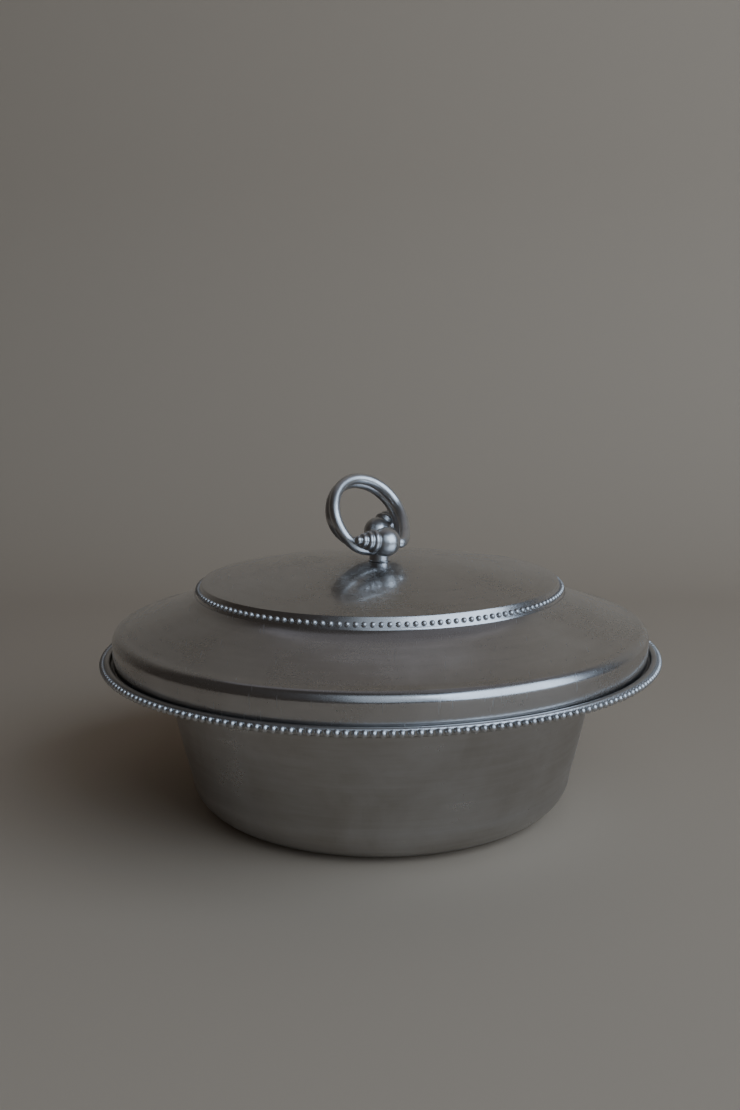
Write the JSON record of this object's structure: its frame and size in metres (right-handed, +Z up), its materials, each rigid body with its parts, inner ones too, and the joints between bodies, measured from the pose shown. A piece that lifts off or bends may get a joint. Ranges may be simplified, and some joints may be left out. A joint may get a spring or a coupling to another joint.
{
  "type": "covered serving dish",
  "caption": "Round covered serving dish in spun aluminium with a beaded rim, and a lift-off domed lid with a beaded crown and a wound-rod finial.",
  "frame": {"origin": "centre of the dish's flat base, where it stands on the table", "axes": "+Z up along the spinning axis of the dish and the lid; the front end of the finial points to -X and -Y"},
  "size_m": [0.2384, 0.2384, 0.1414],
  "materials": {
    "spun_sheet": "satin, with fine spinning lines and light wear",
    "turned_bright": "soft polish"
  },
  "bodies": {
    "dish": {"dish_body": "spun_sheet"},
    "lid": {"lid_shell": "spun_sheet", "finial_post": "turned_bright", "finial_loop": "turned_bright", "ball_front": "turned_bright", "ball_back": "turned_bright", "tip_front": "turned_bright", "tip_back": "turned_bright", "lid_washer": "turned_bright", "lid_nut": "turned_bright"}
  },
  "joints": [
    {"name": "lid_lift", "type": "slide", "parent": "dish", "child": "lid", "axis": [0, 0, 1], "range_m": [0, 0.12]}
  ]
}
